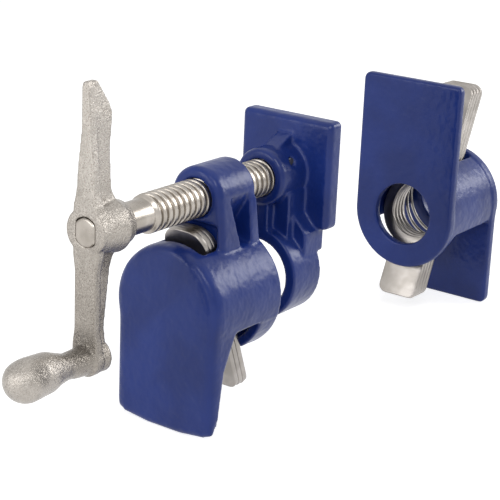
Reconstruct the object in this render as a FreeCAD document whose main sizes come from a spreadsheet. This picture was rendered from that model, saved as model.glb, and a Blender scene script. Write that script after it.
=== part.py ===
import FreeCAD, Part
import math
import os
import Sketcher

# Woodworking pipe clamp: a screw head and a sliding tail stop for 3/4 inch nominal pipe.
# +X runs along the pipe from the head to the tail stop and +Z is up. The origin lies on the
# pipe's axis, at the front face of the head's foot plate. Lengths are millimetres.

Vec = FreeCAD.Vector
doc = FreeCAD.newDocument("pipe_clamp")
sheet = doc.addObject("Spreadsheet::Sheet", "Dims")

DIMENSIONS = {
    # the pipe and its passages
    "pipe_r": 13.335,           # nominal 3/4 inch pipe, 26.67 mm outside
    "bore_gap": 0.765,          # radial clearance of the cast bores
    "punch_gap": 0.6,           # radial clearance of the holes in the clutch plates
    # both castings
    "foot_drop": 48.3,          # pipe axis to the ground
    "barrel_r": 24.5,
    "barrel_wall": 4.2,
    "skirt_drop": 7.6,          # the barrel's side walls end this far below the pipe axis
    # head casting
    "head_ring": 4.2,           # length of the closed ring at the barrel's end
    "ring_play": 0.4,           # clutch plates to the ring at their closest
    "foot_vee": 1.8,            # the foot's corners stand this much above its middle
    "foot_root": 7.6,           # the foot plate's thickness at the barrel
    "foot_tip": 3.7,            # and at the ground
    "gusset_run": 6.6,          # the side walls run down into the foot plate
    "gusset_drop": 13.7,
    "foot_inset": 1.1,          # the foot's straight sides stand in from the barrel's
    "shoulder_r": 20.0,         # hollow blend from the barrel's round to those sides
    "foot_edge": 2.2,
    "floor_fillet": 1.5,        # cast radius where the hollow meets the foot plate
    # post that carries the screw
    "screw_height": 39.65,      # pipe axis to screw axis
    "post_top_r": 11.9,
    "post_rear": 38.0,
    "post_front": 16.3,
    "post_base_half": 14.2,
    "post_web": 9.0,
    "recess_front": 25.6,
    "recess_rear": 34.6,
    "recess_top": 36.6,
    "recess_floor": 22.6,
    "recess_lean": 3.4,
    "recess_edge": 2.0,
    "post_edge": 2.6,
    # screw
    "screw_r": 7.4,
    "screw_gap": 0.05,          # running clearance in the post and the jaw
    "shank_r": 6.2,
    "tang_flat": 4.4,
    "tang_gap": 0.02,
    "tang_end": -44.4,
    "thread_start": -11.0,
    "nose_start": 62.4,
    "nose_r": 6.7,
    "nose_end": 70.4,
    "nose_bevel": 1.0,
    # crank handle
    "crank_front": -44.2,
    "flange": 3.8,
    "hub_flange_r": 8.8,
    "hub_r": 10.6,
    "hub_front": -32.0,
    "hub_rear": -25.6,
    "hub_edge": 2.4,
    "arm_half": 5.75,
    "paddle_shoulder": 23.0,
    "paddle_shoulder_half": 4.3,
    "paddle_waist": 35.0,
    "paddle_waist_half": 2.6,
    "paddle_tip": 52.6,
    "paddle_tip_half": 2.3,
    "blade": 4.6,
    "web_rear": 13.2,           # web's depth behind the flange's front face
    "web_waist": 11.8,
    "web_end": 8.0,
    "crank_radius": 46.65,
    "knob_front": -83.6,
    "knob_r": 8.65,
    "knob_bulb": 10.2,
    "knob_neck_r": 4.9,
    "knob_neck": 29.6,
    "knob_flare": 0.6,
    "knob_blend": 9.0,
    "knob_stub_r": 6.4,
    "knob_rear": -36.2,
    # sliding jaw
    "jaw_face": 80.9,
    "jaw_plate": 7.5,
    "jaw_half": 21.7,
    "jaw_top": 61.9,
    "jaw_bottom": 18.0,
    "jaw_corner": 2.4,
    "jaw_bevel": 1.6,
    "boss_r": 11.5,
    "boss_length": 16.9,
    "boss_edge": 2.0,
    "socket_depth": 15.2,
    "jaw_rib_half": 3.6,
    "jaw_rib_top": 55.4,
    "jaw_rib_run": 13.4,
    "neck_half": 11.0,
    "neck_length": 18.8,
    "neck_foot": 10.0,
    "neck_flare_half": 17.0,    # behind its front the neck spreads to meet the ring's sides
    "neck_flare_start": 17.5,
    "neck_flare_top": 24.5,
    "neck_flare_run": 15.0,
    "neck_rib_half": 4.0,
    "neck_rib": 4.6,
    "ring_wall": 4.8,
    "ring_length": 18.6,
    "ring_setback": 5.0,        # the ring's rear end stands this far short of the jaw's face
    # cross pin that holds the screw's nose in the jaw
    "pin_r": 1.5,
    "pin_gap": 0.05,
    "pin_rise": 6.3,
    "pin_depth": 9.2,           # boss front to pin
    "pin_length": 17.6,
    # clutch plates
    "plate": 2.4,
    "plate_gap": 0.05,
    "disc_gap": 1.1,            # radial clearance of the plates in the barrel
    "tab_half": 9.8,
    "tab_foot": 42.4,           # hole's centre to the bottom of the plate
    "tab_corner": 4.0,
    "seat_gap": 0.1,
    "slot_gap": 0.7,            # side clearance of the plates in the slots
    # head clutch
    "head_lean": 20.5,
    "head_pivot": 18.1,
    "head_slot_reach": 6.2,     # the slot goes this far above the barrel, into the post
    "head_tab_top": 31.6,
    "head_tab_round": 7.5,
    # tail stop casting
    "tail_front": 170.4,
    "tail_plate": 4.4,
    "tail_half": 25.0,
    "tail_top": 62.6,
    "tail_corner": 3.0,
    "tail_rear_wall": 5.0,
    "tail_play": 3.0,           # clutch plates to the rear wall at the top of the barrel
    "tail_foot_half": 24.4,
    "tail_foot_corner": 3.0,
    "tail_edge": 1.2,
    "tail_gusset_run": 5.0,     # the side walls run down behind the tall plate
    "tail_gusset_drop": 8.2,
    "tail_web_half": 3.6,
    "tail_web_run": 14.6,
    "tail_web_top": 55.0,
    # tail clutch
    "tail_lean": 24.2,
    "tail_pivot": 27.6,         # tail's front face to the edge that its plates tilt on
    "tail_tab_top": 59.6,
    "tail_tab_round": 4.6,
    # clutch springs
    "wire_r": 0.7,
    "coil_side_gap": 1.2,       # coil's widest turn to the barrel
    "coil_taper": 2.4,
    "coil_turns": 2.5,
    "coil_gap": 0.2,
}

HEAD_PLATE_COUNT = 3
TAIL_PLATE_COUNT = 4
COIL_STEPS = 12             # points on the springs' path in one turn

for row, (alias, number) in enumerate(DIMENSIONS.items(), start=1):
    sheet.set(f"A{row}", alias)
    sheet.set(f"B{row}", str(number))
    sheet.setAlias(f"B{row}", alias)
doc.recompute()


class Size:
    """A number together with the sheet formula that gives it."""

    def __init__(self, value, text):
        self.value = value
        self.text = text

    def __add__(self, other):
        other = as_size(other)
        return Size(self.value + other.value, f"({self.text} + {other.text})")

    def __sub__(self, other):
        other = as_size(other)
        return Size(self.value - other.value, f"({self.text} - {other.text})")

    def __mul__(self, other):
        other = as_size(other)
        return Size(self.value * other.value, f"({self.text} * {other.text})")

    def __truediv__(self, other):
        other = as_size(other)
        return Size(self.value / other.value, f"({self.text} / {other.text})")

    def __neg__(self):
        return Size(-self.value, f"(0 - {self.text})")


def as_size(thing):
    return thing if isinstance(thing, Size) else Size(float(thing), f"({float(thing)})")


def root(size):
    return Size(math.sqrt(size.value), f"sqrt({size.text})")


def cosine(degrees):
    return Size(math.cos(math.radians(degrees.value)), f"cos({degrees.text})")


def tangent(degrees):
    return Size(math.tan(math.radians(degrees.value)), f"tan({degrees.text})")


def other_leg(hypotenuse, leg):
    """Remaining leg of a right triangle, such as a circle's height above a chord's end."""
    return root(hypotenuse * hypotenuse - leg * leg)


class Dimensions:
    """The sheet's driving dimensions as sizes, by alias."""

    def __getattr__(self, alias):
        return Size(float(sheet.get(alias)), "Dims." + alias)


D = Dimensions()
ZERO = as_size(0)


# ------------------------------------------------------------------ bodies and sketches

def new_body(name, along=ZERO, up=ZERO, lean=None, axis=Vec(0, 1, 0)):
    """A sub-part whose own origin lies at (along, 0, up), leaning about a level cross axis."""
    body = doc.addObject("PartDesign::Body", name)
    body.Label = name
    if lean:
        body.Placement = FreeCAD.Placement(Vec(), FreeCAD.Rotation(axis, lean.value))
        body.setExpression("Placement.Rotation.Angle", lean.text)
    body.setExpression("Placement.Base.x", along.text)
    body.setExpression("Placement.Base.z", up.text)
    return body


def new_sketch(body, name, plane, offset=ZERO, lift=ZERO):
    """Sketch on one of the body's own planes, moved off it and, for a lifted axis, up in it."""
    sketch = body.newObject("Sketcher::SketchObject", name)
    planes = {feature.Role: feature for feature in body.Origin.OriginFeatures}
    sketch.AttachmentSupport = [(planes[plane], "")]
    sketch.MapMode = "FlatFace"
    sketch.setExpression("AttachmentOffset.Base.z", offset.text)
    sketch.setExpression("AttachmentOffset.Base.y", lift.text)
    return sketch


def bind(sketch, name, size, kind, *where):
    """Constrain the sketch by a size and tie the constraint to the size's formula."""
    index = sketch.addConstraint(Sketcher.Constraint(kind, *where, size.value))
    sketch.renameConstraint(index, name)
    sketch.setExpression("Constraints." + name, size.text)


def pin_point(sketch, name, geometry, point, across, up):
    bind(sketch, name + "_across", across, "DistanceX", -1, 1, geometry, point)
    bind(sketch, name + "_up", up, "DistanceY", -1, 1, geometry, point)


def add_circle(sketch, name, radius, across=ZERO, up=ZERO):
    centre = Vec(across.value, up.value, 0)
    index = sketch.addGeometry(Part.Circle(centre, Vec(0, 0, 1), radius.value), False)
    pin_point(sketch, name, index, 3, across, up)
    bind(sketch, name + "_radius", radius, "Radius", index)


def add_outline(sketch, corners):
    """Closed outline through the corners. A corner is (across, up); one that ends an arc is
    (across, up, centre across, centre up, turn), with turn 1 anticlockwise and -1 clockwise."""
    corners = [[as_size(item) for item in corner[:4]] + list(corner[4:]) for corner in corners]
    spots = [Vec(corner[0].value, corner[1].value, 0) for corner in corners]
    first = len(sketch.Geometry)
    ends = []
    for index, corner in enumerate(corners):
        begin, finish = spots[index - 1], spots[index]
        if len(corner) == 2:
            sketch.addGeometry(Part.LineSegment(begin, finish), False)
            ends.append((1, 2))
            continue
        centre = Vec(corner[2].value, corner[3].value, 0)
        circle = Part.Circle(centre, Vec(0, 0, 1), (begin - centre).Length)
        low, high = (begin, finish) if corner[4] > 0 else (finish, begin)
        angles = [math.atan2(spot.y - centre.y, spot.x - centre.x) for spot in (low, high)]
        sketch.addGeometry(Part.ArcOfCircle(circle, *angles), False)
        ends.append((1, 2) if corner[4] > 0 else (2, 1))
    for index, corner in enumerate(corners):
        geometry = first + index
        after = (index + 1) % len(corners)
        pin_point(sketch, f"corner{geometry}", geometry, ends[index][1], corner[0], corner[1])
        sketch.addConstraint(Sketcher.Constraint(
            "Coincident", geometry, ends[index][1], first + after, ends[after][0]))
        if len(corner) > 2:
            # the far end is pinned by its neighbour, so one coordinate fixes the centre
            begin = spots[index - 1]
            level = abs(begin.y - spots[index].y) < abs(begin.x - spots[index].x)
            kind, middle = ("DistanceY", corner[3]) if level else ("DistanceX", corner[2])
            bind(sketch, f"centre{geometry}", middle, kind, -1, 1, geometry, 3)


def feature(body, kind, name, sketch, **settings):
    made = body.newObject("PartDesign::" + kind, name)
    made.Profile = sketch
    for key, setting in settings.items():
        setattr(made, key, setting)
    return made


def pad(body, name, sketch, length, side="One side"):
    made = feature(body, "Pad", name, sketch, SideType=side)
    made.setExpression("Length", length.text)


def pocket(body, name, sketch, length, side="One side"):
    """Cut along the sketch's normal, and make sure that the cut meets the solid."""
    doc.recompute()
    before = body.Shape.Volume
    made = feature(body, "Pocket", name, sketch, SideType=side, Reversed=side == "One side")
    made.setExpression("Length", length.text)
    doc.recompute()
    if body.Shape.Volume > before - 1e-3:
        raise RuntimeError(f"{name} of {body.Label} cuts nothing")


def revolve(body, name, sketch):
    made = feature(body, "Revolution", name, sketch, ReferenceAxis=(sketch, ["H_Axis"]))
    made.Angle = 360


def dress(body, kind, name, size, wanted):
    """Round (Fillet) or bevel (Chamfer) the edges that a test picks."""
    doc.recompute()
    base = body.Tip
    edges = [f"Edge{i}" for i, edge in enumerate(base.Shape.Edges, start=1) if wanted(edge)]
    if not edges:
        raise RuntimeError(f"{name} of {body.Label} finds no edge")
    made = body.newObject("PartDesign::" + kind, name)
    made.Base = (base, edges)
    made.setExpression("Radius" if kind == "Fillet" else "Size", size.text)


def box_sketch(body, name, plane, offset, left, right, low, high):
    sketch = new_sketch(body, name, plane, offset)
    add_outline(sketch, [(left, low), (right, low), (right, high), (left, high)])
    return sketch


def disc_sketch(body, name, offset, radius, up=ZERO):
    sketch = new_sketch(body, name, "YZ_Plane", offset)
    add_circle(sketch, "rim", radius, ZERO, up)
    return sketch


def reach(edge):
    """How far across from the pipe axis the edge goes."""
    return max(abs(spot.y) for spot in (edge.BoundBox.getPoint(0), edge.BoundBox.getPoint(7)))


def within(edge, axis, value, tolerance=0.01):
    """Whether the whole edge lies at one value of a coordinate (0 along, 1 across, 2 up)."""
    ends = [vertex.Point[axis] for vertex in edge.Vertexes]
    middle = edge.CenterOfMass[axis]
    return all(abs(spot - value) < tolerance for spot in ends + [middle])


# ------------------------------------------------------------------ castings

bore_r = D.pipe_r + D.bore_gap
inner_r = D.barrel_r - D.barrel_wall
foot_half = D.barrel_r - D.foot_inset
slot_half = D.tab_half + D.slot_gap
pack_rise = D.barrel_r
plate_pitch = D.plate + D.plate_gap
tail_stack = (D.seat_gap + plate_pitch * TAIL_PLATE_COUNT) / cosine(D.tail_lean)
tail_inside = D.tail_pivot + tail_stack + D.tail_play
tail_length = tail_inside + D.tail_rear_wall
head_ring_start = D.head_pivot + pack_rise * 2 * tangent(D.head_lean) + D.ring_play
head_length = head_ring_start + D.head_ring


def shoulders():
    """The head's outline over its barrel, from one straight side of the foot to the other."""
    out = foot_half + D.shoulder_r
    low = other_leg(D.barrel_r + D.shoulder_r, out)
    share = D.barrel_r / (D.barrel_r + D.shoulder_r)
    return [(foot_half, -low), (out * share, -low * share, out, -low, -1),
            (-out * share, -low * share, ZERO, ZERO, 1), (-foot_half, -low, -out, -low, -1)]


def head_casting():
    body = new_body("head_casting")
    # foot plate with a round top and a foot that comes to a flat point
    plate = new_sketch(body, "foot_profile", "YZ_Plane")
    add_outline(plate, [
        (foot_half, D.foot_vee - D.foot_drop), *shoulders(),
        (-foot_half, D.foot_vee - D.foot_drop), (-foot_half / 3, -D.foot_drop),
        (foot_half / 3, -D.foot_drop)])
    pad(body, "foot_plate", plate, D.foot_root)
    taper = new_sketch(body, "foot_taper_profile", "XZ_Plane")
    low = -D.foot_drop - 1
    skirt = D.skirt_drop + D.gusset_drop
    add_outline(taper, [(D.foot_tip, low), (D.foot_root + 1, low), (D.foot_root + 1, -skirt),
                        (D.foot_root, -skirt), (D.foot_tip, -D.foot_drop)])
    pocket(body, "foot_taper", taper, D.barrel_r * 4, "Symmetric")
    dress(body, "Fillet", "foot_rim", D.foot_edge, lambda edge: within(edge, 0, 0))
    # barrel, open below, with its side walls run down into the foot plate
    barrel = new_sketch(body, "barrel_profile", "YZ_Plane", D.foot_root)
    add_outline(barrel, [(foot_half, -skirt), *shoulders(), (-foot_half, -skirt)])
    pad(body, "barrel", barrel, head_length - D.foot_root)
    skirts = new_sketch(body, "skirt_profile", "XZ_Plane")
    add_outline(skirts, [
        (D.foot_root, -skirt), (D.foot_root, -skirt - 2),
        (head_length + 1, -skirt - 2), (head_length + 1, -D.skirt_drop),
        (D.foot_root + D.gusset_run, -D.skirt_drop)])
    pocket(body, "skirt_cut", skirts, D.barrel_r * 4, "Symmetric")
    # post for the screw
    post = new_sketch(body, "post_profile", "YZ_Plane", D.post_front)
    add_outline(post, [
        (D.post_base_half, other_leg(inner_r, D.post_base_half) + 1),
        (D.post_top_r, D.screw_height),
        (-D.post_top_r, D.screw_height, ZERO, D.screw_height, 1),
        (-D.post_base_half, other_leg(inner_r, D.post_base_half) + 1)])
    pad(body, "post", post, D.post_rear - D.post_front)
    dress(body, "Fillet", "post_rim", D.post_edge,
          lambda edge: within(edge, 0, D.post_front.value) and edge.CenterOfMass.z > D.barrel_r.value)
    # the barrel's hollow, and the closed ring round the pipe at its far end
    hollow = new_sketch(body, "hollow_profile", "YZ_Plane", D.foot_root)
    add_outline(hollow, [
        (inner_r, -skirt - 1), (inner_r, ZERO), (-inner_r, ZERO, ZERO, ZERO, 1),
        (-inner_r, -skirt - 1)])
    pocket(body, "hollow", hollow, head_length - D.foot_root + 1)
    dress(body, "Fillet", "hollow_floor", D.floor_fillet,
          lambda edge: within(edge, 0, D.foot_root.value) and reach(edge) < inner_r.value + 0.01
          and not within(edge, 2, -skirt.value))
    ring = disc_sketch(body, "ring_profile", head_ring_start, D.barrel_r)
    pad(body, "ring", ring, D.head_ring)
    # side recesses leave a central web between two flanges
    for side, offset in (("near", D.post_web / 2), ("far", -D.post_web / 2 - D.barrel_r)):
        sketch = new_sketch(body, side + "_recess_profile", "XZ_Plane", offset)
        add_outline(sketch, [
            (D.recess_front + D.recess_lean, D.recess_floor), (D.recess_rear, D.recess_floor),
            (D.recess_rear, D.recess_top - D.recess_edge), (D.recess_front, D.recess_top)])
        pocket(body, side + "_recess", sketch, D.barrel_r)
    # slot for the clutch plates: its far wall leans with them and is the edge they tilt on
    drop = D.barrel_wall * 2
    slope = tangent(D.head_lean)
    slot = new_sketch(body, "slot_profile", "XZ_Plane")
    add_outline(slot, [
        (D.foot_root, pack_rise - drop), (D.head_pivot + drop * slope, pack_rise - drop),
        (D.head_pivot, pack_rise), (D.head_pivot, pack_rise + D.head_slot_reach),
        (D.foot_root, pack_rise + D.head_slot_reach)])
    pocket(body, "slot", slot, slot_half * 2, "Symmetric")
    # bores
    screw_way = disc_sketch(body, "screw_bore_profile", D.post_front - 1,
                            D.screw_r + D.screw_gap, D.screw_height)
    pocket(body, "screw_bore", screw_way, D.post_rear - D.post_front + 2)
    pipe_way = disc_sketch(body, "pipe_bore_profile", head_ring_start - 1, bore_r)
    pocket(body, "pipe_bore", pipe_way, D.head_ring + 2)
    return body


def tail_casting():
    body = new_body("tail_casting", D.tail_front)
    inside = tail_inside
    # tall clamping plate with a round foot
    face = new_sketch(body, "face_profile", "YZ_Plane")
    half, top, corner = D.tail_half, D.tail_top, D.tail_corner
    add_outline(face, [
        (half, ZERO, ZERO, ZERO, 1), (half, top - corner),
        (half - corner, top, half - corner, top - corner, 1), (corner - half, top),
        (-half, top - corner, corner - half, top - corner, 1), (-half, ZERO)])
    pad(body, "clamping_plate", face, D.tail_plate)
    # rear wall that goes down to the ground
    foot = new_sketch(body, "foot_profile", "YZ_Plane", inside)
    side, low, bend = D.tail_foot_half, -D.foot_drop, D.tail_foot_corner
    add_outline(foot, [
        (side - bend, low), (side, bend + low, side - bend, bend + low, 1),
        (side, -D.skirt_drop), (D.tail_half, ZERO), (-D.tail_half, ZERO, ZERO, ZERO, 1),
        (-side, -D.skirt_drop), (-side, bend + low),
        (bend - side, low, bend - side, bend + low, 1)])
    pad(body, "rear_foot", foot, D.tail_rear_wall)
    dress(body, "Fillet", "outer_rims", D.tail_edge,
          lambda edge: within(edge, 0, 0) or within(edge, 0, tail_length.value))
    # barrel between them, open below
    barrel = disc_sketch(body, "barrel_profile", D.tail_plate, D.barrel_r)
    pad(body, "barrel", barrel, inside - D.tail_plate)
    hollow = disc_sketch(body, "hollow_profile", D.tail_plate, inner_r)
    pocket(body, "hollow", hollow, inside - D.tail_plate)
    opening = new_sketch(body, "opening_profile", "XZ_Plane")
    add_outline(opening, [
        (D.tail_plate, -D.barrel_r - 1), (inside, -D.barrel_r - 1), (inside, -D.skirt_drop),
        (D.tail_plate + D.tail_gusset_run, -D.skirt_drop),
        (D.tail_plate, -D.skirt_drop - D.tail_gusset_drop)])
    pocket(body, "opening", opening, D.barrel_r * 4, "Symmetric")
    # web that stiffens the tall plate
    web = new_sketch(body, "web_profile", "XZ_Plane")
    rise = inner_r + D.barrel_wall / 2
    add_outline(web, [(D.tail_plate, rise), (D.tail_plate + D.tail_web_run, rise),
                      (D.tail_plate + D.tail_web_run, D.barrel_r + 2),
                      (D.tail_plate, D.tail_web_top)])
    pad(body, "web", web, D.tail_web_half * 2, "Symmetric")
    # slot for the clutch plates: its near wall leans with them and is the edge they tilt on
    drop = D.barrel_wall * 2
    slot = new_sketch(body, "slot_profile", "XZ_Plane")
    add_outline(slot, [
        (D.tail_pivot - drop * tangent(D.tail_lean), pack_rise - drop), (inside, pack_rise - drop),
        (inside, pack_rise + 1), (D.tail_pivot, pack_rise + 1), (D.tail_pivot, pack_rise)])
    pocket(body, "slot", slot, slot_half * 2, "Symmetric")
    for end, start, depth in (("front", -1, D.tail_plate), ("rear", inside - 1, D.tail_rear_wall)):
        way = disc_sketch(body, end + "_bore_profile", as_size(start), bore_r)
        pocket(body, end + "_bore", way, depth + 2)
    return body


def jaw_casting():
    """Sliding jaw, with its own origin at the middle of its clamping face's plane."""
    body = new_body("jaw_casting", D.jaw_face)
    back = -D.jaw_plate
    plate = box_sketch(body, "plate_profile", "YZ_Plane", back,
                       -D.jaw_half, D.jaw_half, D.jaw_bottom, D.jaw_top)
    pad(body, "plate", plate, D.jaw_plate)
    dress(body, "Fillet", "plate_corners", D.jaw_corner,
          lambda edge: abs(edge.Length - D.jaw_plate.value) < 0.01)
    dress(body, "Chamfer", "plate_bevel", D.jaw_bevel, lambda edge: within(edge, 0, back.value))
    # boss that takes the screw's nose
    start = back - D.boss_length
    boss = disc_sketch(body, "boss_profile", start, D.boss_r, D.screw_height)
    pad(body, "boss", boss, D.boss_length + D.jaw_plate / 2)
    dress(body, "Fillet", "boss_rim", D.boss_edge, lambda edge: within(edge, 0, start.value))
    rib = new_sketch(body, "rib_profile", "XZ_Plane")
    add_outline(rib, [(back - D.jaw_rib_run, D.screw_height + D.boss_r - D.boss_edge),
                      (back, D.screw_height), (back, D.jaw_rib_top)])
    pad(body, "rib", rib, D.jaw_rib_half * 2, "Symmetric")
    # neck down to the ring
    neck = box_sketch(body, "neck_profile", "XZ_Plane", ZERO, -D.neck_length, ZERO,
                      D.neck_foot, D.screw_height - D.boss_r / 2)
    pad(body, "neck", neck, D.neck_half * 2, "Symmetric")
    flare = new_sketch(body, "neck_flare_profile", "YZ_Plane", -D.neck_flare_run)
    ring_r = bore_r + D.ring_wall
    wide, low = D.neck_flare_half, other_leg(ring_r, D.neck_flare_half)
    add_outline(flare, [
        (wide, low), (wide, D.neck_flare_start), (D.neck_half, D.neck_flare_top),
        (-D.neck_half, D.neck_flare_top), (-wide, D.neck_flare_start), (-wide, low)])
    pad(body, "neck_flare", flare, D.neck_flare_run - D.jaw_bevel)
    key = box_sketch(body, "neck_rib_profile", "XZ_Plane", ZERO, -D.neck_length - D.neck_rib,
                     -D.neck_length, D.neck_foot, D.screw_height - D.boss_r / 2)
    pad(body, "neck_rib", key, D.neck_rib_half * 2, "Symmetric")
    ring_start = -D.ring_setback - D.ring_length
    ring = disc_sketch(body, "ring_profile", ring_start, ring_r)
    pad(body, "ring", ring, D.ring_length)
    pipe_way = disc_sketch(body, "pipe_bore_profile", ring_start - 1, bore_r)
    pocket(body, "pipe_bore", pipe_way, -ring_start + 2)
    socket = disc_sketch(body, "socket_profile", start - 1, D.screw_r + D.screw_gap, D.screw_height)
    pocket(body, "socket", socket, D.socket_depth + 1)
    cross = new_sketch(body, "pin_hole_profile", "XZ_Plane")
    add_circle(cross, "rim", D.pin_r, start + D.pin_depth, D.screw_height + D.pin_rise)
    pocket(body, "pin_hole", cross, D.boss_r * 2, "Symmetric")
    return body


# ------------------------------------------------------------------ screw, pin and handle

def lead_screw():
    """Turned screw: tang, shank, thread at its crest size, and a grooved nose."""
    body = new_body("lead_screw", ZERO, D.screw_height)
    turned = new_sketch(body, "turning_profile", "XZ_Plane")
    groove_r = D.pin_rise - D.pin_r - D.pin_gap
    groove = D.jaw_face - D.jaw_plate - D.boss_length + D.pin_depth
    reach = D.pin_r + D.pin_gap * 2
    add_outline(turned, [
        (D.tang_end, ZERO), (D.nose_end, ZERO), (D.nose_end, D.nose_r - D.nose_bevel),
        (D.nose_end - D.nose_bevel, D.nose_r), (groove + reach, D.nose_r),
        (groove + reach, groove_r), (groove - reach, groove_r), (groove - reach, D.nose_r),
        (D.nose_start, D.nose_r), (D.nose_start - (D.screw_r - D.nose_r), D.screw_r),
        (D.thread_start + (D.screw_r - D.shank_r), D.screw_r), (D.thread_start, D.shank_r),
        (D.tang_end, D.shank_r)])
    revolve(body, "turning", turned)
    length = D.hub_rear - D.tang_end
    for side, low, high in (("near", -D.screw_r, -D.tang_flat), ("far", D.tang_flat, D.screw_r)):
        flat = box_sketch(body, side + "_flat_profile", "YZ_Plane", D.tang_end,
                          low, high, -D.screw_r, D.screw_r)
        pocket(body, side + "_flat", flat, length)
    return body


def jaw_retaining_pin():
    start = D.jaw_face - D.jaw_plate - D.boss_length
    body = new_body("jaw_retaining_pin", start + D.pin_depth, D.screw_height + D.pin_rise)
    sketch = new_sketch(body, "pin_profile", "XZ_Plane")
    add_circle(sketch, "rim", D.pin_r)
    pad(body, "pin", sketch, D.pin_length, "Symmetric")
    return body


def pear_knob(body):
    """Knob that stands forward of the crank's arm, parallel to the screw, with its stub behind."""
    sketch = new_sketch(body, "knob_profile", "XZ_Plane", ZERO, -D.crank_radius)
    ball = D.knob_front + D.knob_r
    shoulder = ball + D.knob_bulb
    neck = D.knob_front + D.knob_neck
    add_outline(sketch, [
        (D.knob_front, ZERO, ball, ZERO, 1), (D.knob_rear, ZERO), (D.knob_rear, D.knob_stub_r),
        (D.crank_front, D.knob_neck_r + D.knob_flare), (neck, D.knob_neck_r),
        (shoulder, D.knob_r - D.knob_flare), (ball, D.knob_r)])
    revolve(body, "knob", sketch)
    dress(body, "Fillet", "knob_blend", D.knob_blend,
          lambda edge: within(edge, 0, neck.value) or within(edge, 0, shoulder.value))


def crank_handle():
    """Cast crank with a tee section, a paddle arm and a pear knob, about the screw's axis."""
    body = new_body("crank_handle", ZERO, D.screw_height)
    pear_knob(body)
    hub_disc = disc_sketch(body, "hub_disc_profile", D.crank_front, D.hub_flange_r)
    pad(body, "hub_disc", hub_disc, D.flange)
    arms = new_sketch(body, "arm_profile", "YZ_Plane", D.crank_front)
    tip = D.paddle_tip_half
    add_outline(arms, [
        (D.arm_half, -D.crank_radius), (D.arm_half, D.arm_half),
        (D.paddle_shoulder_half, D.paddle_shoulder), (D.paddle_waist_half, D.paddle_waist),
        (tip, D.paddle_tip - tip), (-tip, D.paddle_tip - tip, ZERO, D.paddle_tip - tip, 1),
        (-D.paddle_waist_half, D.paddle_waist), (-D.paddle_shoulder_half, D.paddle_shoulder),
        (-D.arm_half, D.arm_half),
        (-D.arm_half, -D.crank_radius)])
    pad(body, "arms", arms, D.flange)
    end = disc_sketch(body, "arm_end_profile", D.crank_front, D.knob_stub_r, -D.crank_radius)
    pad(body, "arm_end", end, D.flange)
    web = new_sketch(body, "web_profile", "XZ_Plane")
    front = D.crank_front
    add_outline(web, [
        (front, -D.crank_radius), (front + D.web_end, -D.crank_radius),
        (front + D.web_rear, -D.hub_r), (front + D.web_rear, D.hub_r),
        (front + D.web_waist, D.paddle_shoulder + D.arm_half),
        (front + D.web_rear, D.paddle_waist + D.arm_half),
        (front + D.web_waist, D.paddle_waist + D.arm_half * 1.6),
        (front + D.flange * 1.4, D.paddle_tip), (front, D.paddle_tip - tip)])
    pad(body, "web", web, D.blade, "Symmetric")
    hub = new_sketch(body, "hub_profile", "XZ_Plane")
    rear, edge = D.hub_rear, D.hub_edge
    add_outline(hub, [
        (front + D.flange / 2, ZERO), (rear, ZERO), (rear, D.hub_flange_r - edge),
        (rear - edge, D.hub_flange_r, rear - edge, D.hub_flange_r - edge, 1),
        (D.hub_front, D.hub_r), (front + D.flange / 2, D.hub_flange_r)])
    revolve(body, "hub", hub)
    tang_r = D.shank_r + D.tang_gap
    flat = D.tang_flat + D.tang_gap
    chord = other_leg(tang_r, flat)
    tang = new_sketch(body, "tang_profile", "YZ_Plane", D.crank_front - 1)
    add_outline(tang, [
        (flat, -chord, ZERO, ZERO, 1), (flat, chord), (-flat, chord, ZERO, ZERO, 1),
        (-flat, -chord)])
    pocket(body, "tang_hole", tang, D.hub_rear - D.crank_front + 2)
    return body


# ------------------------------------------------------------------ clutches

def clutch_plate(name, index, pivot, top, corner, lean, sense):
    """One stamped plate: a disc round the pipe, with a tab above and below. Its own origin is
    its hole's centre on the pipe axis. Plate 0 bears on the leaning wall of the slot."""
    stacked = D.seat_gap + plate_pitch * index
    along = pivot + (stacked / cosine(lean) - pack_rise * tangent(lean)) * sense
    body = new_body(name, along, ZERO, lean, Vec(0, sense, 0))
    back = ZERO if sense > 0 else -D.plate
    blank = disc_sketch(body, "disc_profile", back, inner_r - D.disc_gap)
    pad(body, "disc", blank, D.plate)
    tab = new_sketch(body, "tab_profile", "YZ_Plane", back)
    half, foot, bend = D.tab_half, D.tab_foot, D.tab_corner
    add_outline(tab, [
        (half - bend, -foot), (half, bend - foot, half - bend, bend - foot, 1),
        (half, top - corner), (half - corner, top, half - corner, top - corner, 1),
        (corner - half, top), (-half, top - corner, corner - half, top - corner, 1),
        (-half, bend - foot), (bend - half, -foot, bend - half, bend - foot, 1)])
    pad(body, "tab", tab, D.plate)
    hole = disc_sketch(body, "hole_profile", back - 1, D.pipe_r + D.punch_gap)
    pocket(body, "hole", hole, D.plate + 2)
    return body


def clutch_pack(name, count, pivot, top, corner, lean, sense):
    return [clutch_plate(f"{name}_{index + 1}", index, pivot, top, corner, lean, sense)
            for index in range(count)]


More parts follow.
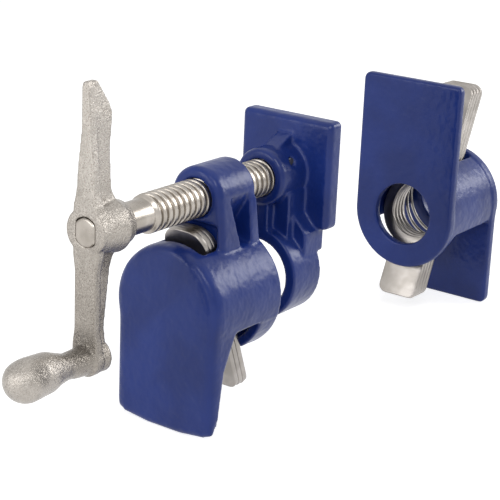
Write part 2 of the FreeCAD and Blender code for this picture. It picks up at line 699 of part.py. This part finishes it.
def coil_spring(name, wall, pivot, count, lean, sense):
    """Conical compression spring: its wide end lies on a casting's flat wall, and its narrow
    end on the leaning face of the plates. The coil is computed, because its turns open out
    from one plane to the other."""
    wire = D.wire_r.value
    seat = wall.value - sense * (wire + D.coil_gap.value)
    slope = tangent(lean).value
    stack = D.seat_gap.value + plate_pitch.value * count
    press = pivot.value - sense * pack_rise.value * slope
    press += sense * (stack + wire + D.coil_gap.value) / cosine(lean).value
    wide = inner_r.value - D.coil_side_gap.value - wire
    narrow = wide - D.coil_taper.value
    turns = D.coil_turns.value
    points = []
    for step in range(math.ceil(turns * COIL_STEPS) + 1):
        share = step / math.ceil(turns * COIL_STEPS)
        angle = 2 * math.pi * turns * share
        radius = wide + (narrow - wide) * share
        up = radius * math.cos(angle)
        along = seat + (press + sense * slope * up - seat) * share
        points.append(Vec(along, radius * math.sin(angle), up))
    path = Part.BSplineCurve()
    path.interpolate(points)
    section = Part.Circle(points[0], path.tangent(0)[0], wire)
    sweep = Part.BRepOffsetAPI.MakePipeShell(Part.Wire(path.toShape()))
    sweep.setFrenetMode(True)
    sweep.add(Part.Wire(section.toShape()))
    sweep.build()
    sweep.makeSolid()
    part = doc.addObject("Part::Feature", name)
    part.Label = name
    part.Shape = sweep.shape()
    part.Placement = FreeCAD.Placement()
    return part


# ------------------------------------------------------------------ the whole clamp

def failed_objects():
    return [item.Name for item in doc.Objects if {"Invalid", "Error"} & set(item.State)]


tail_pivot = D.tail_front + D.tail_pivot
tail_wall = D.tail_front + tail_inside
subparts = [head_casting(), lead_screw(), crank_handle(), jaw_casting(), jaw_retaining_pin(),
            tail_casting()]
subparts += clutch_pack("head_clutch_plate", HEAD_PLATE_COUNT, D.head_pivot, D.head_tab_top,
                        D.head_tab_round, D.head_lean, -1)
subparts += clutch_pack("tail_clutch_plate", TAIL_PLATE_COUNT, tail_pivot, D.tail_tab_top,
                        D.tail_tab_round, D.tail_lean, 1)
subparts.append(coil_spring("head_clutch_spring", D.foot_root, D.head_pivot, HEAD_PLATE_COUNT,
                            D.head_lean, -1))
subparts.append(coil_spring("tail_clutch_spring", tail_wall, tail_pivot, TAIL_PLATE_COUNT,
                            D.tail_lean, 1))
doc.recompute()

if failed_objects():
    raise RuntimeError(f"failed to recompute: {failed_objects()}")
for part in subparts:
    if part.Shape.isNull() or not part.Shape.isValid() or len(part.Shape.Solids) != 1:
        raise RuntimeError(f"{part.Label} has no single valid solid")
os.makedirs("parts", exist_ok=True)
for part in subparts:
    part.Shape.exportStep(f"parts/{part.Label}.step")
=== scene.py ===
import math
from contextlib import contextmanager

import bpy
import bmesh
from mathutils import Matrix, Vector


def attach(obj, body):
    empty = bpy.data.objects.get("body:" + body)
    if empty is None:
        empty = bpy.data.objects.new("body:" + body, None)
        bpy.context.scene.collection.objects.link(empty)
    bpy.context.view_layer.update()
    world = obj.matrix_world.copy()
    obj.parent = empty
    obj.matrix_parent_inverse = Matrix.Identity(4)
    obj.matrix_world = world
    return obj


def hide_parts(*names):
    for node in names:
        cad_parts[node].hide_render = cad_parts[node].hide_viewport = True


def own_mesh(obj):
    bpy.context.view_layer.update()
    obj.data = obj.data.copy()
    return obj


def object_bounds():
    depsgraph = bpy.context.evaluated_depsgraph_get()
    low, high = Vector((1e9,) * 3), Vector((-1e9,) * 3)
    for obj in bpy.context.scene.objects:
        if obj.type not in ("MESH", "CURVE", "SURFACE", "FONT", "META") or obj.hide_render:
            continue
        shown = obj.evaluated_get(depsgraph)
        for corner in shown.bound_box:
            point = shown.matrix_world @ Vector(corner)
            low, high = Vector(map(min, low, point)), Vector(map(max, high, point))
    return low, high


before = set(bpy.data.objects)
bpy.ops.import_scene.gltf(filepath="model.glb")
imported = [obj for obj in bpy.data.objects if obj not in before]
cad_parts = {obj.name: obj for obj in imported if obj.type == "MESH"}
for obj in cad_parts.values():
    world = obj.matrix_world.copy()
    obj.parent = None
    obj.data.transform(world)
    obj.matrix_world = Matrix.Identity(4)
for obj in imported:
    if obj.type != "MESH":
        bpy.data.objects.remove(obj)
cad_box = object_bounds()

# ---------------------------------------------------------------------------------------
# Head casting: foot plate, barrel, pipe ring and the post whose top is the screw's nut.
# A sand casting in malleable iron, so every edge is soft and every inner corner has a
# fillet, under thick glossy blue enamel that levels over the sand's grain.

MM = 0.001
SCREW_HEIGHT = 39.65        # the screw's axis over the pipe's, in millimetres


class Value:
    """A node socket that takes part in arithmetic, in a shader or a geometry tree."""

    def __init__(self, tree, socket):
        self.tree = tree
        self.socket = socket

    def math(self, operation, *others, swapped=False):
        terms = [self, *others]
        if swapped:
            terms.reverse()
        return node(self.tree, "ShaderNodeMath", {"operation": operation},
                    dict(enumerate(terms)))

    def __add__(self, other):
        return self.math("ADD", other)

    __radd__ = __add__

    def __sub__(self, other):
        return self.math("SUBTRACT", other)

    def __rsub__(self, other):
        return self.math("SUBTRACT", other, swapped=True)

    def __mul__(self, other):
        return self.math("MULTIPLY", other)

    __rmul__ = __mul__

    def __truediv__(self, other):
        return self.math("DIVIDE", other)

    def clamped(self, low, high):
        return self.math("MAXIMUM", low).math("MINIMUM", high)

    def ramp(self, low, high):
        """0 below low, 1 above high, with an eased rise between."""
        return node(self.tree, "ShaderNodeMapRange", {"interpolation_type": "SMOOTHSTEP"},
                    {"Value": self, "From Min": low, "From Max": high})


def node(tree, kind, settings=None, sockets=None, output=0):
    """Add a node: its settings first, then the values or links of its sockets."""
    made = tree.nodes.new(kind)
    for name, setting in (settings or {}).items():
        setattr(made, name, setting)
    for name, given in (sockets or {}).items():
        if isinstance(given, Value):
            tree.links.new(given.socket, made.inputs[name])
        else:
            made.inputs[name].default_value = given
    return Value(tree, made.outputs[output]) if made.outputs else None


def noise(tree, place, scale, detail=2.0, roughness=0.5, stretch=None):
    """Noise between 0 and 1 with features of about 1/scale metres."""
    if stretch:
        place = node(tree, "ShaderNodeVectorMath", {"operation": "MULTIPLY"},
                     {0: place, 1: stretch})
    return node(tree, "ShaderNodeTexNoise", None,
                {"Vector": place, "Scale": scale, "Detail": detail, "Roughness": roughness})


def mixed(tree, share, first, second):
    """A colour between two colours."""
    return node(tree, "ShaderNodeMix", {"data_type": "RGBA"},
                {0: share, 6: first, 7: second}, output=2)


def new_finish(name):
    """An empty material, with its tree and the object's own coordinates."""
    finish = bpy.data.materials.new(name)
    finish.use_nodes = True
    tree = finish.node_tree
    tree.nodes.clear()
    return finish, tree, node(tree, "ShaderNodeTexCoord", output=3)


def coat(tree, sockets, bump=None, depth=0.0):
    """The surface shader, with a relief of bump times depth metres."""
    if bump is not None:
        sockets["Normal"] = node(tree, "ShaderNodeBump", None,
                                 {"Height": bump, "Distance": depth, "Strength": 1.0})
    surface = node(tree, "ShaderNodeBsdfPrincipled", None, sockets)
    node(tree, "ShaderNodeOutputMaterial", None, {"Surface": surface})


def blue_enamel():
    """Thick enamel: its blue varies a little, and it sags and peels over the sand's grain."""
    finish, tree, place = new_finish("blue_enamel")
    sag = noise(tree, place, 230, 0.5)
    peel = noise(tree, place, 520, 0.5)
    tone = noise(tree, place, 45, 2.0)
    colour = mixed(tree, tone.ramp(0.3, 0.7),
                   (0.007, 0.024, 0.160, 1), (0.012, 0.034, 0.205, 1))
    relief = sag * 0.68 + peel * 0.32
    coat(tree, {"Base Color": colour, "Roughness": 0.25 + tone * 0.10,
                "Specular IOR Level": 0.32}, relief, 0.4 * MM)
    return finish


enamel = blue_enamel()


def in_scene(name, content):
    """A new object with this mesh, lamp or lens, linked into the scene."""
    made = bpy.data.objects.new(name, content)
    bpy.context.scene.collection.objects.link(made)
    return made


def plain_copy(name, cad_name):
    """A merged copy of a CAD node's mesh, as a new object."""
    weld = 0.004 * MM
    work = bmesh.new()
    work.from_mesh(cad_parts[cad_name].data)
    bmesh.ops.remove_doubles(work, verts=work.verts, dist=weld)
    mesh = bpy.data.meshes.new(name)
    work.to_mesh(mesh)
    work.free()
    mesh.materials.clear()
    return in_scene(name, mesh)


@contextmanager
def opened(mesh):
    """The mesh as a bmesh to work on, which is written back at the end."""
    work = bmesh.new()
    work.from_mesh(mesh)
    yield work
    work.to_mesh(mesh)
    work.free()


def evaluated(source):
    """The mesh that an object's modifiers give."""
    shape = source.evaluated_get(bpy.context.evaluated_depsgraph_get())
    return bpy.data.meshes.new_from_object(shape)


def prism(outline, low, high, turned=False):
    """A closed bar as corners and faces: an outline of (x, z) drawn out along y, or of (y, z)
    along x where turned."""
    count = len(outline)
    corners = [(end, first, second) if turned else (first, end, second)
               for end in (low, high) for first, second in outline]
    faces = [tuple(range(count)), tuple(range(2 * count - 1, count - 1, -1))]
    faces += [(k, k + count, (k + 1) % count + count, (k + 1) % count) for k in range(count)]
    return corners, faces


def put_in(mesh, parts):
    """Adds closed parts, sized in millimetres and turned outwards, to a mesh."""
    for corners, faces in parts:
        work = bmesh.new()
        spots = [work.verts.new(Vector(corner) * MM) for corner in corners]
        for face in faces:
            work.faces.new([spots[k] for k in face])
        bmesh.ops.triangulate(work, faces=work.faces)
        bmesh.ops.recalc_face_normals(work, faces=work.faces)
        work.from_mesh(mesh)
        work.to_mesh(mesh)
        work.free()


def finished(name, source, finish):
    """The source's evaluated mesh as a plain smooth-shaded piece; the source goes."""
    mesh = evaluated(source)
    mesh.name = name
    bpy.data.objects.remove(source)
    mesh.materials.clear()
    mesh.materials.append(finish)
    mesh.shade_smooth()
    return in_scene(name, mesh)


def cast_piece(name, cad_name, finish, grain=0.55 * MM, passes=11, added=(), cut=()):
    """A casting: the solid, with closed parts added to it or cut from it, laid out in an even
    net, whose smoothing rounds every edge and fills every inner corner as a sand mould does."""
    source = plain_copy(name + "_pattern", cad_name)
    if cut:
        cutter = in_scene(name + "_cutter", bpy.data.meshes.new(name + "_cutter"))
        put_in(cutter.data, cut)
        change = source.modifiers.new("cut", "BOOLEAN")
        change.operation = "DIFFERENCE"
        change.solver = "EXACT"
        change.object = cutter
        cut_mesh = evaluated(source)
        source.modifiers.clear()
        source.data = cut_mesh
        bpy.data.objects.remove(cutter)
    put_in(source.data, added)
    net = source.modifiers.new("net", "REMESH")
    net.mode = "VOXEL"
    net.voxel_size = grain
    soften = source.modifiers.new("soften", "SMOOTH")
    soften.factor = 0.5
    soften.iterations = passes
    return finished(name, source, finish)


def rounder(piece, chosen, passes):
    """Eases the chosen corners of a net further, as heavy enamel does."""
    with opened(piece.data) as work:
        picked = [vert for vert in work.verts if chosen(vert.co / MM)]
        for _ in range(passes):
            bmesh.ops.smooth_vert(work, verts=picked, factor=0.5,
                                  use_axis_x=True, use_axis_y=True, use_axis_z=True)


def post_pocket(side):
    """One side pocket of the post: its floor is the barrel, and its back leans out to the
    post's own surface at the top, where it fades away."""
    foot, back, shown = 4.6 * side, 5.06 * side, 18.0 * side
    corners = [(28.6, foot, 22.4), (34.4, foot, 22.4), (34.6, back, 27.5),
               (27.0, back, 28.0), (28.2, shown, 19.4), (34.4, shown, 19.4),
               (34.8, shown, 53.0), (18.5, shown, 53.0)]
    faces = [(0, 1, 2, 3), (4, 7, 6, 5), (0, 4, 5, 1), (1, 5, 6, 2), (2, 6, 7, 3), (3, 7, 4, 0)]
    return corners, faces


def ring_cheek(side):
    """Side of the pipe ring that runs forward under the barrel's wall, beside the plates' tab."""
    outer, inner, front, rear = 24.45, 20.6, 29.5, 38.0
    upper, step, count = -12, -6.2, 8
    turns = [math.radians(upper + step * k) for k in range(count)]
    outline = [(side * outer * math.cos(turn), outer * math.sin(turn)) for turn in turns]
    outline += [(side * inner * math.cos(turn), inner * math.sin(turn)) for turn in turns[::-1]]
    return prism(outline, front, rear, turned=True)


def nut_wall(side):
    """Metal between the screw's way and the post's pocket."""
    way, front, rear = 7.5, 24.6, 35.6
    outline = [(3.5, 27.6), (5.1, 28.0), (10.3, 38.1)]
    outline += [(y, SCREW_HEIGHT - math.sqrt(way * way - y * y))
                for y in (7.3, 6.9, 6.2, 5.3, 4.4, 3.5)]
    return prism([(side * y, z) for y, z in outline], front, rear, turned=True)


def post_heel():
    """The post's rear face, which spreads down on to the barrel."""
    half_width = 13.0
    return prism([(37.0, 39.0), (38.2, 37.0), (40.9, 21.5), (40.9, 18.0), (37.0, 18.0)],
                 -half_width, half_width)


def foot_rim(spot):
    """Whether a spot lies on the edge of the foot plate's front face."""
    rim_depth, flat_radius = 4.5, 19.0
    return spot.x < rim_depth and math.hypot(spot.y, max(spot.z, 0)) > flat_radius


head = cast_piece("head", "head_casting", enamel,
                  added=[post_heel(), ring_cheek(-1), ring_cheek(1), nut_wall(-1), nut_wall(1)],
                  cut=[post_pocket(-1), post_pocket(1)])
rounder(head, foot_rim, passes=60)
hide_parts("head_casting")
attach(head, "head")

# ---------------------------------------------------------------------------------------
# Lead screw: bright plated steel bar. The tang is flattened on two sides and riveted over in
# the crank's hub, a plain shank follows, and the rest is a rolled round-crested thread.


def plated_steel():
    """Bright zinc plate with fine turning marks and a faint bloom."""
    finish, tree, place = new_finish("plated_steel")
    streak = noise(tree, place, 500, 3.0, 0.6, stretch=(0.15, 1.0, 1.0))
    bloom = noise(tree, place, 130, 2.0)
    colour = mixed(tree, bloom.ramp(0.35, 0.7),
                   (0.33, 0.30, 0.265, 1), (0.44, 0.405, 0.365, 1))
    coat(tree, {"Base Color": colour, "Metallic": 1.0, "Roughness": 0.22 + streak * 0.14},
         streak, 0.02 * MM)
    return finish


def part_of(tree, vector, axis):
    """One coordinate of a vector."""
    return node(tree, "ShaderNodeSeparateXYZ", None, {"Vector": vector}, output=axis)


def thread_tree(finish):
    """The screw along X as one net: rows along the bar, columns round it, and cap rows that
    close its two ends. Its inputs are the bar's lengths and radii."""
    tree = bpy.data.node_groups.new("turned_bar", "GeometryNodeTree")
    sizes = {"Start": -44.4, "Rivet Radius": 5.2, "Rivet Flat": 4.35, "Rivet End": -42.5,
             "Rivet Bevel": 0.45, "Flat": 4.4, "Flat End": -25.7, "Shank Radius": 6.2,
             "Thread Start": -14.4, "Crest Radius": 7.4, "Root Radius": 5.95,
             "Thread End": 62.4, "Nose Radius": 6.7, "End": 70.4, "Axis Height": SCREW_HEIGHT,
             "Pitch": 3.175}
    for name, size in sizes.items():
        socket = tree.interface.new_socket(name, in_out="INPUT", socket_type="NodeSocketFloat")
        socket.default_value = size * MM
    tree.interface.new_socket("Geometry", in_out="OUTPUT", socket_type="NodeSocketGeometry")
    given = tree.nodes.new("NodeGroupInput")
    size = {name: Value(tree, given.outputs[name]) for name in sizes}
    cap_rows, rows, columns = 8, (800), 64
    net = node(tree, "GeometryNodeMeshGrid", None, {
        "Size X": 1.0, "Size Y": 1.0, "Vertices X": rows, "Vertices Y": columns + 1})
    spot = node(tree, "GeometryNodeInputPosition")
    row = (part_of(tree, spot, 0) + 0.5) * (rows - 1)
    turn = part_of(tree, spot, 1) + 0.5
    inner = (row - cap_rows) / (rows - 1 - 2 * cap_rows)
    along = size["Start"] + (size["End"] - size["Start"]) * inner.clamped(0.0, 1.0)
    cap = (row / cap_rows).clamped(0.0, 1.0) * ((rows - 1 - row) / cap_rows).clamped(0.0, 1.0)
    phase = (along / size["Pitch"] - turn).math("FRACT")
    ridge = 1 - ((phase * 2 - 1).math("ABSOLUTE")).ramp(0.42, 0.86)
    thread = size["Root Radius"] + (size["Crest Radius"] - size["Root Radius"]) * ridge
    runout = size["Pitch"] * 0.6
    begin = ((along - size["Thread Start"]) / runout).ramp(0.0, 1.0)
    end = ((size["Thread End"] - along) / runout).ramp(0.0, 1.0)
    radius = size["Shank Radius"] + (thread - size["Shank Radius"]) * begin
    radius = size["Nose Radius"] + (radius - size["Nose Radius"]) * end
    # the riveted end is a step within a tenth of a millimetre, with a bevel all round
    step = 10000
    rivet = ((size["Rivet End"] - along) * step).clamped(0.0, 1.0)
    bevel = size["Rivet Bevel"] - (along - size["Start"]).clamped(0.0, size["Rivet Bevel"])
    radius = radius + (size["Rivet Radius"] - radius) * rivet - bevel
    radius = radius * cap
    angle = turn * (2 * math.pi)
    # behind the tang its two flats move so far out that they cut nothing
    spread = 1000
    flat = size["Flat"] + ((along - size["Flat End"]) * spread).clamped(0.0, 1.0)
    flat = flat - (size["Flat"] - size["Rivet Flat"]) * rivet - bevel
    across = (radius * angle.math("COSINE")).math("MAXIMUM", 0 - flat).math("MINIMUM", flat)
    up = size["Axis Height"] + radius * angle.math("SINE")
    place = node(tree, "ShaderNodeCombineXYZ", None, {0: along, 1: across, 2: up})
    moved = node(tree, "GeometryNodeSetPosition", None, {"Geometry": net, "Position": place})
    welded = node(tree, "GeometryNodeMergeByDistance", None,
                  {"Geometry": moved, "Distance": 0.001 * MM})
    real = node(tree, "GeometryNodeRealizeInstances", None, {"Geometry": welded})
    skin = node(tree, "GeometryNodeSetMaterial", None, {"Geometry": real, "Material": finish})
    node(tree, "NodeGroupOutput", None, {"Geometry": skin})
    return tree


def grown(name, tree, finish):
    """A plain mesh piece from a geometry tree, with its faces turned outwards."""
    seed = in_scene(name + "_seed", bpy.data.meshes.new(name + "_seed"))
    seed.modifiers.new("grow", "NODES").node_group = tree
    piece = finished(name, seed, finish)
    with opened(piece.data) as work:
        bmesh.ops.recalc_face_normals(work, faces=work.faces)
    return piece


steel = plated_steel()
screw = grown("screw", thread_tree(steel), steel)
screw.data.set_sharp_from_angle(angle=math.radians(50))
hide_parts("lead_screw")
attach(screw, "screw")

# ---------------------------------------------------------------------------------------
# Crank: one casting with hub, tee-section arms, paddle end and pear knob. It is barrel
# plated, so its sand grain stays, with dark pitting at random. Its colour also holds painted
# shade, darker on the lower arm and in three corners, and painted light on the upper arm and the
# knob.

CRANK_FRONT = -44.2         # the front face of hub and arms, in millimetres


def plated_casting():
    """Plate over sand grain, pitted at random. Painted light and shade: lighter on the upper arm
    and the knob, darker below, and painted shade as dark pitted patches at three corners, given
    by their place and reach in millimetres."""
    finish, tree, place = new_finish("plated_casting")
    grain = noise(tree, place, 1500, 3.0, 0.7)
    lumps = noise(tree, place, 420, 2.0)
    patch = noise(tree, place, 70, 3.0, 0.6)
    forward = part_of(tree, place, 0) * -1
    height = part_of(tree, place, 2)
    # painted light and shade: the share of the lighter tone rises with height and towards the
    # knob, so the lower arm is painted darker
    painted_light_share = height.ramp(10 * MM, 70 * MM).math("MAXIMUM", forward.ramp(50 * MM, 64 * MM) * 0.8)
    # painted shade: dark pitted patches round three spots in the crank's corners and undersides,
    # standing in for the shade that falls there
    corners = 0
    for spot, reach in (((-49, 0, -1), 11), ((-33, -4, 28), 9), ((-72, -5, -3), 6)):
        away = node(tree, "ShaderNodeVectorMath", {"operation": "DISTANCE"},
                    {0: place, 1: [size * MM for size in spot]}, output=1)
        corners = corners + (1 - (away / (reach * MM)).ramp(0.35, 1.0))
    # the pitting mask: random pitting in patches, plus the painted shade at the three corners
    pits_and_corner_shade = noise(tree, place, 1500, 4.0, 0.7).ramp(0.44, 0.62) * (
        patch.ramp(0.50, 0.70) * 0.7 + corners).clamped(0.0, 1.0)
    speckle = grain.ramp(0.2, 0.8)
    # painted shade and painted light: the first tone is the shaded copy of the plate, and clear
    # below is its lit copy
    painted_shade_tone = mixed(tree, speckle, (0.20, 0.178, 0.155, 1), (0.38, 0.35, 0.315, 1))
    clear = mixed(tree, speckle, (0.31, 0.282, 0.252, 1), (0.50, 0.468, 0.43, 1))
    plate = mixed(tree, painted_light_share, painted_shade_tone, clear)
    colour = mixed(tree, pits_and_corner_shade * 0.72, plate, (0.07, 0.06, 0.05, 1))
    relief = grain * 0.6 + lumps * 0.4 - pits_and_corner_shade * 0.4
    coat(tree, {"Base Color": colour, "Metallic": 1.0, "Roughness": 0.20 + grain * 0.16},
         relief, 0.5 * MM)
    return finish


def rivet_rim():
    """A flat ring with a two-sided hole, by which the hub's hole closes in round the riveted
    end of the tang."""
    steps, hole, flat, outside, rear = 40, 5.55, 4.75, 7.2, -42.6
    turns = [2 * math.pi * step / steps for step in range(steps)]
    inner = [(max(-flat, min(flat, hole * math.cos(turn))), SCREW_HEIGHT + hole * math.sin(turn))
             for turn in turns]
    outer = [(outside * math.cos(turn), SCREW_HEIGHT + outside * math.sin(turn))
             for turn in turns]
    rings = [[(along, *spot) for spot in loop] for along in (CRANK_FRONT, rear)
             for loop in (inner, outer)]
    corners = [corner for loop in rings for corner in loop]
    faces = []
    for k in range(steps):
        after = (k + 1) % steps
        for first, second in ((0, 1), (1, 3), (3, 2), (2, 0)):
            faces.append((first * steps + k, first * steps + after, second * steps + after,
                          second * steps + k))
    return corners, faces


def eased(value, low, high):
    """0 below low, 1 above high, with an eased rise between."""
    share = min(1.0, max(0.0, (value - low) / (high - low)))
    return share * share * (3 - 2 * share)


def fettled(piece):
    """Grinds the crank after casting: slimmer arms, a narrower tip, a hub that is flatter
    below, and a slimmer and shorter knob. Each share is 1 on its own part of the crank."""
    knob_height, knob_rise, knob_shortening, knob_end = -7.0, 1.2, 2.4, 83.6
    for vert in piece.data.vertices:
        x, y, z = vert.co / MM
        arm = eased(abs(z - SCREW_HEIGHT), 9.0, 15.0) * eased(z, -3.0, 5.0)
        tip = eased(z, 76.0, 92.0)
        y = y * (1 - 0.16 * arm) * (1 - 0.26 * tip) + 0.5 * tip
        x = CRANK_FRONT + (x - CRANK_FRONT) * (1 - 0.13 * arm)
        if z < SCREW_HEIGHT:
            hub = 1 - eased(math.hypot(y, z - SCREW_HEIGHT), 11.0, 15.0)
            z = SCREW_HEIGHT + (z - SCREW_HEIGHT) * (1 - 0.09 * hub)
        knob = eased(-x, 48.0, 62.0)
        y = y * (1 - 0.09 * knob)
        z = knob_height + (z - knob_height) * (1 - 0.10 * knob) + knob_rise * knob
        x = x + knob_shortening * eased(-x, 52.0, knob_end)
        vert.co = Vector((x, y, z)) * MM


crank = cast_piece("crank", "crank_handle", plated_casting(), grain=0.45 * MM, passes=6,
                   added=[rivet_rim()])
fettled(crank)
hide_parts("crank_handle")
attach(crank, "screw")

# ---------------------------------------------------------------------------------------
# Sliding jaw: plate, boss on the screw's nose, neck and the ring that slides on the pipe.
# It is cast and enamelled as the head is, and a steel cross pin holds the nose in the boss.

jaw = cast_piece("jaw", "jaw_casting", enamel)
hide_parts("jaw_casting")
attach(jaw, "jaw")


def dark_steel(name, tint):
    """Unplated steel with a light mottle."""
    finish, tree, place = new_finish(name)
    tone = noise(tree, place, 400, 2.0)
    colour = mixed(tree, tone, tint, tuple(0.8 * part for part in tint[:3]) + (1,))
    coat(tree, {"Base Color": colour, "Metallic": 1.0, "Roughness": 0.32 + tone * 0.12})
    return finish


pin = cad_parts["jaw_retaining_pin"]
pin.data.materials.clear()
pin.data.materials.append(dark_steel("pin_steel", (0.16, 0.16, 0.17, 1)))

# ---------------------------------------------------------------------------------------
# Clutch plates: stamped from plated strip, with a hole for the pipe and a tab above and
# below. Three lean in the head and four in the tail stop, and all their edges are tumbled.


def clutch_steel():
    """Plated strip with fine brushing along one way."""
    finish, tree, place = new_finish("clutch_steel")
    brushed = noise(tree, place, 700, 3.0, 0.6, stretch=(1.0, 0.12, 1.0))
    bloom = noise(tree, place, 120, 2.0)
    colour = mixed(tree, bloom.ramp(0.35, 0.7),
                   (0.30, 0.278, 0.255, 1), (0.40, 0.372, 0.348, 1))
    coat(tree, {"Base Color": colour, "Metallic": 1.0, "Roughness": 0.24 + brushed * 0.16},
         brushed, 0.015 * MM)
    return finish


def stamped_plate(name, cad_name, finish):
    """A plate whose flat faces are each made one face, and whose edges are then rounded."""
    sharp = math.radians(40)
    source = plain_copy(name + "_blank", cad_name)
    with opened(source.data) as work:
        bmesh.ops.dissolve_limit(work, angle_limit=math.radians(1), verts=work.verts,
                                 edges=work.edges)
    rounding = source.modifiers.new("rounding", "BEVEL")
    rounding.width = 0.45 * MM
    rounding.segments = 3
    rounding.limit_method = "ANGLE"
    rounding.angle_limit = sharp
    piece = finished(name, source, finish)
    piece.data.set_sharp_from_angle(angle=sharp)
    return piece


plate_finish = clutch_steel()
for body, count in (("head_clutch", 3), ("tail_clutch", 4)):
    for number in range(1, count + 1):
        plate = stamped_plate(f"{body}_stamping_{number}", f"{body}_plate_{number}", plate_finish)
        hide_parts(f"{body}_plate_{number}")
        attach(plate, body)

# ---------------------------------------------------------------------------------------
# Clutch springs: conical coils of plain spring wire round the pipe's path. Their wide end
# stays on the casting's wall. The real springs are pressed flat as the plates are tilted upright;
# here they keep the solids' shape.

wire = dark_steel("spring_wire", (0.42, 0.40, 0.38, 1))
for body, wall, pressed in (("head", 7.6 * MM, 0.065), ("tail", 211.9 * MM, 0.055)):
    blank = plain_copy(body + "_coil_blank", body + "_clutch_spring")
    coil = finished(body + "_coil", blank, wire)
    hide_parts(body + "_clutch_spring")
    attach(coil, body)
    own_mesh(coil)

# ---------------------------------------------------------------------------------------
# Tail stop: tall clamping plate, barrel and rear wall with its foot, in one casting. It is
# cast and enamelled as the head is, and stays where its plates grip the pipe.

tail = cast_piece("tail", "tail_casting", enamel)
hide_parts("tail_casting")
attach(tail, "tail")

# ---------------------------------------------------------------------------------------
# Studio: a white table under a white sky, with soft lamps from the front, the left and above,
# and one from behind that draws the lights along the barrels.


def seen_rays(tree):
    """1 for rays that the camera, metal or glass sees, and 0 for those that light the part."""
    sight = ("Is Camera Ray", "Is Glossy Ray", "Is Transmission Ray")
    direct, glossy, passed = (node(tree, "ShaderNodeLightPath", output=ray) for ray in sight)
    return direct.math("MAXIMUM", glossy).math("MAXIMUM", passed)


def studio_white():
    """Matt white, which glows to plain white where it is seen and still takes shadows."""
    finish, tree, _ = new_finish("studio_white")
    matt = node(tree, "ShaderNodeBsdfDiffuse", None, {"Color": (0.82, 0.82, 0.82, 1)})
    glow = node(tree, "ShaderNodeEmission", None, {"Color": (1, 1, 1, 1), "Strength": 0.72})
    both = node(tree, "ShaderNodeAddShader", None, {0: matt, 1: glow})
    surface = node(tree, "ShaderNodeMixShader", None, {0: seen_rays(tree), 1: matt, 2: both})
    node(tree, "ShaderNodeOutputMaterial", None, {"Surface": surface})
    return finish


table_top = bpy.data.meshes.new("table")
reach, drop = 4.0, cad_box[0].z - 0.05 * MM
table_top.from_pydata([(-reach, -reach, drop), (reach, -reach, drop), (reach, reach, drop),
                       (-reach, reach, drop)], [], [(0, 1, 2, 3)])
table_top.materials.append(studio_white())
table = in_scene("table", table_top)

world = bpy.data.worlds.new("sky")
bpy.context.scene.world = world
world.use_nodes = True
sky = world.node_tree
sky.nodes.clear()
strength = 0.28 + seen_rays(sky) * 0.72
backdrop = node(sky, "ShaderNodeBackground", None, {"Color": (1, 1, 1, 1), "Strength": strength})
node(sky, "ShaderNodeOutputWorld", None, {"Surface": backdrop})


def soft_lamp(name, place, width, power):
    """A square lamp turned to the middle of the part, in metres and watts."""
    middle = Vector((0.06, 0.0, 0.01))
    light = bpy.data.lights.new(name, "AREA")
    light.shape = "SQUARE"
    light.size = width
    light.energy = power
    lamp = in_scene(name, light)
    lamp.location = place
    lamp.rotation_mode = "QUATERNION"
    lamp.rotation_quaternion = (middle - Vector(place)).to_track_quat("-Z", "Y")


soft_lamp("key_lamp", (-0.60, -0.55, 0.80), 0.45, 3.6)
soft_lamp("left_lamp", (-0.95, 0.30, 0.35), 0.6, 3.6)
soft_lamp("top_lamp", (0.1, 0.15, 1.0), 0.8, 0.9)
soft_lamp("rim_lamp", (0.98, -0.58, 0.50), 0.5, 5.5)

# Camera: in front of the head on the crank's side, looking past it to the tail stop.
yaw, pitch, roll = math.radians(35.61), math.radians(17.94), math.radians(2.53)
ahead = Vector((math.cos(pitch) * math.cos(yaw), math.cos(pitch) * math.sin(yaw),
                -math.sin(pitch)))
level = Vector((math.sin(yaw), -math.cos(yaw), 0.0))
above = level.cross(ahead)
right = math.cos(roll) * level + math.sin(roll) * above
upward = -math.sin(roll) * level + math.cos(roll) * above
lens = bpy.data.cameras.new("camera")
lens.lens = 111.47
lens.sensor_width = 36.0
camera = in_scene("camera", lens)
camera.matrix_world = Matrix((right, upward, -ahead)).transposed().to_4x4()
camera.location = Vector((-420.5, -339.0, 199.15)) * MM
bpy.context.scene.camera = camera
bpy.context.scene.view_settings.view_transform = "Standard"
